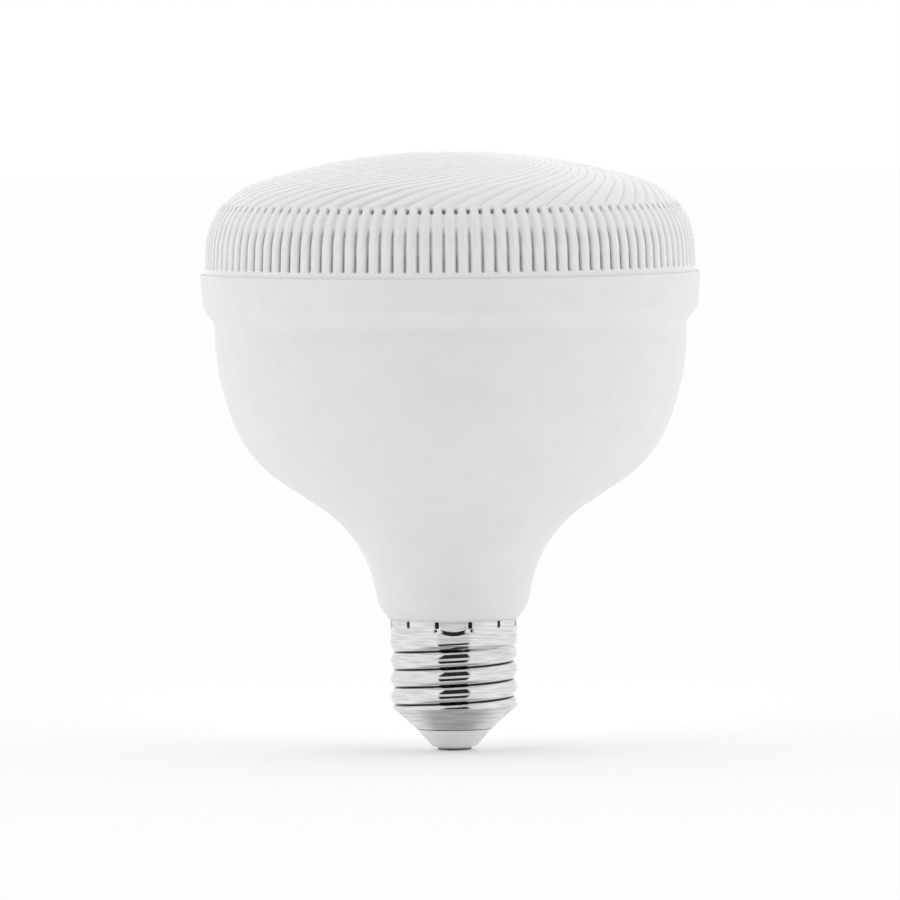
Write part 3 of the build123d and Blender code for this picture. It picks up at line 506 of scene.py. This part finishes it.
def makeLeds(form):
    low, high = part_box("led_packages")
    height = high.z - low.z
    mesh = bmesh.new()
    for radius, count in form["rings"]:
        for index in range(count):
            made = bmesh.ops.create_cube(mesh, size=1.0)["verts"]
            bmesh.ops.scale(mesh, verts=made, vec=(form["length"] * mm, form["width"] * mm, height))
            bmesh.ops.translate(mesh, verts=made, vec=(radius * mm, 0.0, low.z + height / 2))
            faces = {face for vert in made for face in vert.link_faces}
            lid = max(faces, key=lambda face: face.calc_center_median().z)
            bmesh.ops.inset_region(mesh, faces=[lid], thickness=form["frame"] * mm)
            lid.material_index = 1
            bmesh.ops.translate(mesh, verts=lid.verts, vec=(0.0, 0.0, -form["dish"] * mm))
            turned = {vert for face in faces for vert in face.verts} | set(lid.verts)
            turn = math.radians(360 / count * index + 180 / count)
            bmesh.ops.rotate(mesh, verts=list(turned), cent=(0, 0, 0), matrix=Matrix.Rotation(turn, 3, "Z"))
    leds = makePiece("ledPackages", mesh, "white_solder_mask", "led_packages", form["sharpAngle"])
    leds.data.materials.append(materials["led_phosphor"])
    return leds


# Housing: the CAD form itself, its triangles joined so that it shades smoothly (metres and degrees)
housingForm = {"weld": 1e-6, "sharpAngle": 25}


def makeHousing(form):
    mesh = bmesh.new()
    mesh.from_mesh(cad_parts["housing"].data)
    bmesh.ops.remove_doubles(mesh, verts=mesh.verts, dist=form["weld"])
    return makePiece("mouldedHousing", mesh, "housing_plastic", "housing", form["sharpAngle"])


makeLens(lensForm)
makeShell(shellForm)
makeLeds(ledForm)
makeHousing(housingForm)
print("pieces made")

# Floor: pale and matt, a little light of its own to the camera so that it meets the white behind (m)
floorForm = {"front": -0.42, "back": 6.0, "side": 4.0, "colour": "FBFBFB", "lift": 0.12}


def makeFloor(form):
    mesh = bmesh.new()
    bmesh.ops.create_grid(mesh, x_segments=1, y_segments=1, size=1.0)
    depth = (form["back"] - form["front"]) / 2
    bmesh.ops.scale(mesh, verts=mesh.verts, vec=(form["side"], depth, 1.0))
    bmesh.ops.translate(mesh, verts=mesh.verts, vec=(0.0, form["front"] + depth, 0.0))
    data = bpy.data.meshes.new("floor")
    mesh.to_mesh(data)
    mesh.free()
    floor = bpy.data.objects.new("floor", data)
    bpy.context.scene.collection.objects.link(floor)
    material = bpy.data.materials.new("paperMattWhite")
    material.use_nodes = True
    tree = material.node_tree
    tree.nodes.remove(tree.nodes["Principled BSDF"])
    paper = addNode(tree, "ShaderNodeBsdfDiffuse", {"Color": srgb(form["colour"])})
    path = addNode(tree, "ShaderNodeLightPath", {})
    lift = addMath(tree, "MULTIPLY", path.outputs["Is Camera Ray"], form["lift"])
    glow = addNode(tree, "ShaderNodeEmission", {"Strength": lift})
    both = addNode(tree, "ShaderNodeAddShader", {0: paper.outputs[0], 1: glow.outputs[0]})
    tree.links.new(both.outputs[0], tree.nodes["Material Output"].inputs["Surface"])
    data.materials.append(material)
    floor.visible_glossy = False  # the plating mirrors the studio, not the floor


# Studio: white all round, with a dark opening at the front, barred by a pale slit (degrees)
studio = {"colour": "FFFFFF", "across": (25, 33), "low": -42, "high": 54, "edge": 6, "dark": 0.03,
          "slit": (-13, 11), "slitEdge": 3, "slitShade": 0.2, "ground": (-62, -46), "groundLevel": 0.45}


def softEdge(tree, angle, edges, shades):  # eased from one shade to the other between two angles
    return addRange(tree, angle, [math.radians(edge) for edge in edges], shades, "SMOOTHSTEP")


def makeStudio(form):
    world = bpy.data.worlds.new("studio")
    bpy.context.scene.world = world
    world.use_nodes = True
    tree = world.node_tree
    place = addNode(tree, "ShaderNodeTexCoord", {}).outputs["Generated"]
    parts = addNode(tree, "ShaderNodeSeparateXYZ", {0: place}).outputs
    front = addMath(tree, "MULTIPLY", parts["Y"], -1.0)
    aside = addMath(tree, "ABSOLUTE", addMath(tree, "ARCTAN2", parts["X"], front))
    rise = addMath(tree, "ARCSINE", parts["Z"])
    across = softEdge(tree, aside, form["across"], (1.0, 0.0))
    below = softEdge(tree, rise, (form["low"] - form["edge"], form["low"]), (0.0, 1.0))
    above = softEdge(tree, rise, (form["high"], form["high"] + form["edge"]), (1.0, 0.0))
    middle = sum(form["slit"]) / 2
    half = form["slit"][1] - middle
    fromSlit = addMath(tree, "ABSOLUTE", addMath(tree, "SUBTRACT", rise, math.radians(middle)))
    slit = softEdge(tree, fromSlit, (half, half + form["slitEdge"]), (form["slitShade"], 1.0))
    barred = addMath(tree, "MULTIPLY", addMath(tree, "MULTIPLY", below, above), slit)
    opening = addMath(tree, "MULTIPLY", across, barred)
    level = addRange(tree, opening, (0.0, 1.0), (1.0, form["dark"]))
    groundEdges = [math.radians(edge) for edge in form["ground"]]
    ground = addRange(tree, rise, groundEdges, (form["groundLevel"], 1.0))
    lit = addMath(tree, "MULTIPLY", level, ground)
    path = addNode(tree, "ShaderNodeLightPath", {}).outputs
    straight = addMath(tree, "MAXIMUM", path["Is Camera Ray"], path["Is Transmission Ray"])
    seen = addMath(tree, "MAXIMUM", lit, straight)
    fillNode(tree, tree.nodes["Background"], {"Color": srgb(form["colour"]), "Strength": seen})


# Camera: a long lens a little above the bulb, framed as a square of about 185 mm at the axis (mm)
cameraForm = {"place": (-0.4, -2400.0, 166.0), "aim": (-0.4, 0.0, 61.8), "lens": 466.5, "sensor": 36.0,
              "roll": -0.52, "reach": 50000.0}


def makeCamera(form):
    data = bpy.data.cameras.new("camera")
    data.lens = form["lens"]
    data.sensor_width = form["sensor"]
    data.clip_end = form["reach"] * mm
    camera = bpy.data.objects.new("camera", data)
    bpy.context.scene.collection.objects.link(camera)
    camera.location = Vector(form["place"]) * mm
    look = (Vector(form["aim"]) - Vector(form["place"])) * mm
    lean = Quaternion((0, 0, 1), math.radians(form["roll"]))
    camera.rotation_euler = (look.to_track_quat("-Z", "Y") @ lean).to_euler()
    bpy.context.scene.camera = camera


makeFloor(floorForm)
makeStudio(studio)
makeCamera(cameraForm)
bpy.context.scene.view_settings.view_transform = "Standard"
print("studio and camera made")
